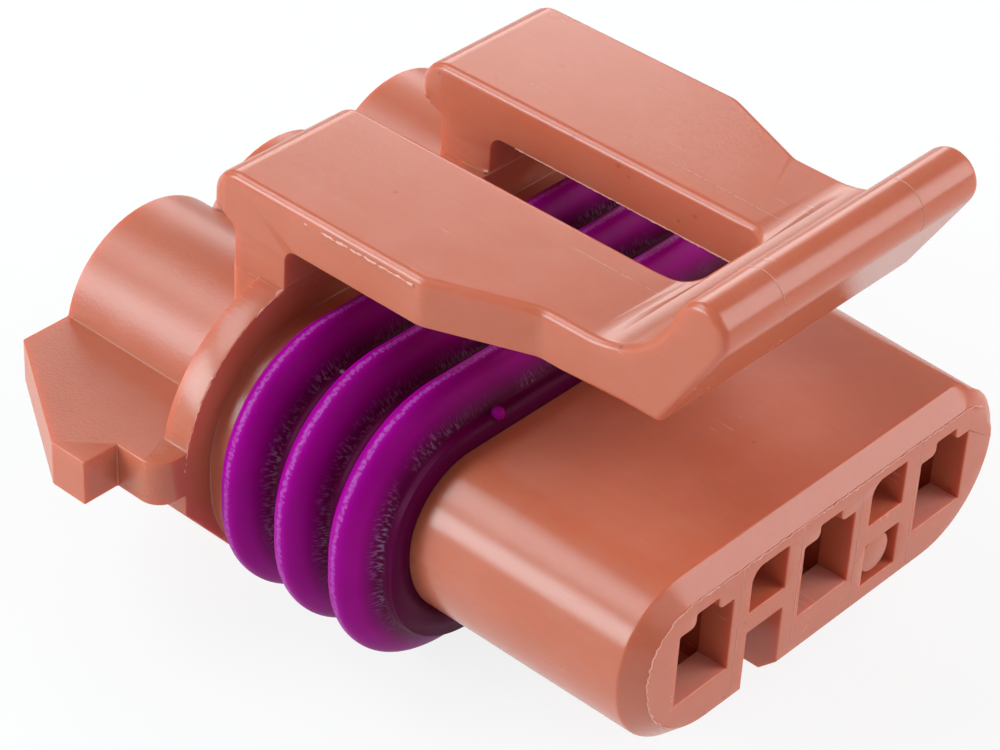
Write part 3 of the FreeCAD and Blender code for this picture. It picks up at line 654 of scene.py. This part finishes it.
silicone = bpy.data.materials.new("purple_silicone")
silicone.use_nodes = True
tree = silicone.node_tree
shader = tree.nodes["Principled BSDF"]
place = add(tree, "ShaderNodeTexCoord").outputs["Object"]
grain_inputs = {"Place": place, "Grain Scale": 7000.0, "Cloud Scale": 400.0}
grain = add(tree, "ShaderNodeGroup", grain_inputs, node_tree=surface_grain)
rise = add(tree, "ShaderNodeAttribute", attribute_name="rise").outputs["Fac"]
length = add(tree, "ShaderNodeAttribute", attribute_name="round_length").outputs["Fac"]
along = add(tree, "ShaderNodeSeparateXYZ", {0: place}).outputs["Y"]
half_along = calc(tree, "MULTIPLY", along, 0.5)
unrolled = add(tree, "ShaderNodeCombineXYZ", {"X": length, "Y": half_along})
fine_inputs = {"Vector": unrolled.outputs[0], "Scale": 14000.0, "Detail": 2.0}
fine = add(tree, "ShaderNodeTexNoise", fine_inputs, noise_dimensions="2D").outputs["Fac"]
patch_inputs = {"Vector": place, "Scale": 420.0, "Detail": 3.0}
patches = add(tree, "ShaderNodeTexNoise", patch_inputs).outputs["Fac"]
# Fine streaks in patches on the lower slopes: partly scratches and dust, partly a painted sheen of light
# caught on them.
streak = add(tree, "ShaderNodeMapRange", {0: fine, 1: 0.48, 2: 0.66}).outputs[0]
patchy = add(tree, "ShaderNodeMapRange", {0: patches, 1: 0.4, 2: 0.62}).outputs[0]
slope_low = add(tree, "ShaderNodeMapRange", {0: rise, 1: 0.002, 2: 0.06}).outputs[0]
slope_high = add(tree, "ShaderNodeMapRange", {0: rise, 1: 0.42, 2: 0.15}).outputs[0]
slope = calc(tree, "MULTIPLY", slope_low, slope_high)
dust_and_sheen = calc(tree, "MULTIPLY", calc(tree, "MULTIPLY", streak, patchy), slope)
# A thin ragged line along each crest: partly worn rubber, partly a painted highlight.
ragged = calc(tree, "MULTIPLY_ADD", fine, 0.03, rise)
crest = add(tree, "ShaderNodeMapRange", {0: ragged, 1: 1.009, 2: 1.016}).outputs[0]
solid = blend_colour(tree, grain.outputs["Clouds"], PURPLE_DEEP, PURPLE_PALE)
# Painted shade: low on the ribs, towards the grooves, the colour is mixed towards a near-black purple.
out_of_valley_shade = add(tree, "ShaderNodeMapRange", {0: rise, 1: 0.1, 2: 0.62}).outputs[0]
clear = blend_colour(tree, out_of_valley_shade, VALLEY_PAINTED_SHADE, solid)
dusty = blend_colour(tree, calc(tree, "MULTIPLY", dust_and_sheen, 0.42), clear, SCRATCH_GREY_AND_SHEEN)
edged = blend_colour(tree, calc(tree, "MULTIPLY", crest, 0.5), dusty, WORN_CREST_AND_HIGHLIGHT)
speck_share = calc(tree, "MULTIPLY", grain.outputs["Specks"], 0.5)
specked = blend_colour(tree, speck_share, edged, PURPLE_SPECK)
tree.links.new(specked, shader.inputs["Base Color"])
rough = calc(tree, "MULTIPLY_ADD", fine, 0.2, 0.3)
dust_rough = calc(tree, "MULTIPLY", dust_and_sheen, 0.3)
tree.links.new(calc(tree, "ADD", rough, dust_rough), shader.inputs["Roughness"])
relief = calc(tree, "ADD", calc(tree, "MULTIPLY", fine, slope), grain.outputs["Grain"])
bump = add(tree, "ShaderNodeBump", {"Height": relief, "Strength": 0.4, "Distance": 0.00001})
tree.links.new(bump.outputs["Normal"], shader.inputs["Normal"])
shader.inputs["Specular IOR Level"].default_value = 0.05
shader.inputs["Subsurface Weight"].default_value = 0.1
shader.inputs["Subsurface Radius"].default_value = (1.0, 0.05, 0.8)
shader.inputs["Subsurface Scale"].default_value = 0.3 * MM

ends = (SEAL_FRONT, SEAL_REAR)
outer = ribbed_line(*ends, RIB_CRESTS, SLEEVE, CREST, RIB_FOOT, RIB_SHARPNESS, steps=120)
section = [(SEAL_INSIDE, SEAL_FRONT, 0.0)] + outer + [(SEAL_INSIDE, SEAL_REAR, 0.0)]
seal = rubber_ring("ring_seal_rubber", section, NOSE, silicone, 260)
skin = bmesh.new()
skin.from_mesh(seal.data)
nub_place = Matrix.Translation(Vector(GATE_NUB) * MM)
nub_radius = GATE_NUB_RADIUS * MM
nub = bmesh.ops.create_icosphere(skin, subdivisions=2, radius=nub_radius, matrix=nub_place)
rises = skin.verts.layers.float["rise"]
for vertex in nub["verts"]:
    vertex[rises] = GATE_NUB_RISE
    for face in vertex.link_faces:
        face.smooth = True
skin.to_mesh(seal.data)
skin.free()
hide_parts("ring_seal")
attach(seal, "body")

# The wire seals are three small ribbed sleeves of the same silicone. Each is threaded on
# its wire and pressed into a wire tube, so that the tube and the wire squeeze it.
WIRE_SEAL_FRONT = 18.55
WIRE_SEAL_REAR = 24.15
WIRE_RIB_CRESTS = (19.65, 21.35, 23.05)
WIRE_RIB_FOOT = 0.55
WIRE_RIB_SHARPNESS = 1.2
WIRE_SLEEVE = 1.15
WIRE_CREST = 1.6
WIRE_HOLE = 0.9
WIRE_HEIGHT = 1.03

ends = (WIRE_SEAL_FRONT, WIRE_SEAL_REAR)
ribs = (WIRE_RIB_CRESTS, WIRE_SLEEVE, WIRE_CREST, WIRE_RIB_FOOT, WIRE_RIB_SHARPNESS)
hole = (WIRE_HOLE,) * len(NOSE)
for number, middle in enumerate((-CAVITY_SPACING, 0.0, CAVITY_SPACING), start=1):
    outer = ribbed_line(*ends, *ribs, steps=60)
    section = [(0.0, WIRE_SEAL_FRONT, 0.0)] + outer + [(0.0, WIRE_SEAL_REAR, 0.0)]
    sleeve = rubber_ring(f"wire_seal_rubber_{number}", section, hole, silicone, 56)
    sleeve.data.transform(Matrix.Translation(Vector((middle, 0, WIRE_HEIGHT)) * MM))
    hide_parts(f"wire_seal_{number}")
    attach(sleeve, "body")

# The studio: a pale table that reads white and keeps a soft shadow, two window-like soft
# boxes low and high at the back on the left, a tall one in front on the right, one behind
# on the right and a weak fill in front. The camera stands at the photograph's angle.
TABLE_REACH = 900
TABLE_HEIGHT = -5.25
TABLE_GLOW = 0.85
ROOM_LIGHT = 0.28
LIT_MIDDLE = (0, 9, 3)
CAMERA_LENS = 119.52
CAMERA_ANGLES = (-49.451, 36.328, 3.237)
CAMERA_TARGET = (2.077, 15.621, -1.809)
CAMERA_DISTANCE = 114.381
turns = ((-1, -1), (1, -1), (1, 1), (-1, 1))
corners = [(x * TABLE_REACH, y * TABLE_REACH, TABLE_HEIGHT) for x, y in turns]
floor = new_piece("table", corners, [(0, 1, 2, 3)])
pale = bpy.data.materials.new("pale_table")
pale.use_nodes = True
tree = pale.node_tree
tree.nodes.remove(tree.nodes["Principled BSDF"])
paper = add(tree, "ShaderNodeBsdfDiffuse", {"Color": (0.9, 0.9, 0.9, 1)})
glow = add(tree, "ShaderNodeEmission", {"Color": (1, 1, 1, 1), "Strength": 1.0})
path = add(tree, "ShaderNodeLightPath").outputs
seen = calc(tree, "MAXIMUM", path["Is Camera Ray"], path["Is Glossy Ray"])
seen = calc(tree, "MAXIMUM", seen, path["Is Transmission Ray"])
share = calc(tree, "MULTIPLY", seen, TABLE_GLOW)
mixed = add(tree, "ShaderNodeMixShader", {0: share, 1: paper.outputs[0], 2: glow.outputs[0]})
tree.links.new(mixed.outputs[0], tree.nodes["Material Output"].inputs["Surface"])
floor.data.materials.append(pale)

world = bpy.data.worlds.new("studio")
bpy.context.scene.world = world
world.use_nodes = True
tree = world.node_tree
path = add(tree, "ShaderNodeLightPath").outputs
room = add(tree, "ShaderNodeMix", {0: path["Is Camera Ray"], 2: ROOM_LIGHT, 3: 1.0})
tree.nodes["Background"].inputs["Color"].default_value = (1, 1, 1, 1)
tree.links.new(room.outputs[0], tree.nodes["Background"].inputs["Strength"])


def soft_box(name, towards, away, width, height, brightness, colour=(1, 1, 1)):
    """A soft box that looks at the object from a direction, with its own brightness."""
    middle = Vector(LIT_MIDDLE) * MM
    lamp = bpy.data.lights.new(name, "AREA")
    lamp.shape = "RECTANGLE"
    lamp.size = width * MM
    lamp.size_y = height * MM
    lamp.energy = brightness * math.pi * lamp.size * lamp.size_y
    lamp.color = colour
    holder = bpy.data.objects.new(name, lamp)
    bpy.context.scene.collection.objects.link(holder)
    towards = Vector(towards).normalized()
    holder.location = middle + towards * away * MM
    holder.rotation_euler = towards.to_track_quat("Z", "Y").to_euler()


soft_box("low_window", (-0.76, 0.53, 0.33), 190, 110, 80, 8.6, (0.8, 1.0, 1.06))
soft_box("high_window", (-0.36, 0.53, 0.77), 190, 120, 75, 5.0, (0.86, 1.0, 1.05))
soft_box("front_right_box", (0.61, -0.58, 0.5), 200, 110, 160, 4.0)
soft_box("back_right_box", (0.62, 0.68, 0.38), 200, 90, 70, 4.0)
soft_box("front_fill", (0.1, -0.85, 0.5), 220, 160, 100, 1.1)

camera = bpy.data.cameras.new("camera")
camera.sensor_width = 36.0
camera.lens = CAMERA_LENS
camera.clip_start = 0.005
camera.clip_end = 10.0
eye = bpy.data.objects.new("camera", camera)
bpy.context.scene.collection.objects.link(eye)
turn, rise, roll = (math.radians(angle) for angle in CAMERA_ANGLES)
reach = math.cos(rise)
back = Vector((math.sin(turn) * reach, -math.cos(turn) * reach, math.sin(rise)))
level = Vector((math.cos(turn), math.sin(turn), 0))
over = back.cross(level)
right = level * math.cos(roll) + over * math.sin(roll)
up = over * math.cos(roll) - level * math.sin(roll)
view = Matrix((right, up, back)).transposed()
eye.matrix_world = view.to_4x4()
eye.location = (Vector(CAMERA_TARGET) + back * CAMERA_DISTANCE) * MM
bpy.context.scene.camera = eye
bpy.context.scene.view_settings.view_transform = "Standard"

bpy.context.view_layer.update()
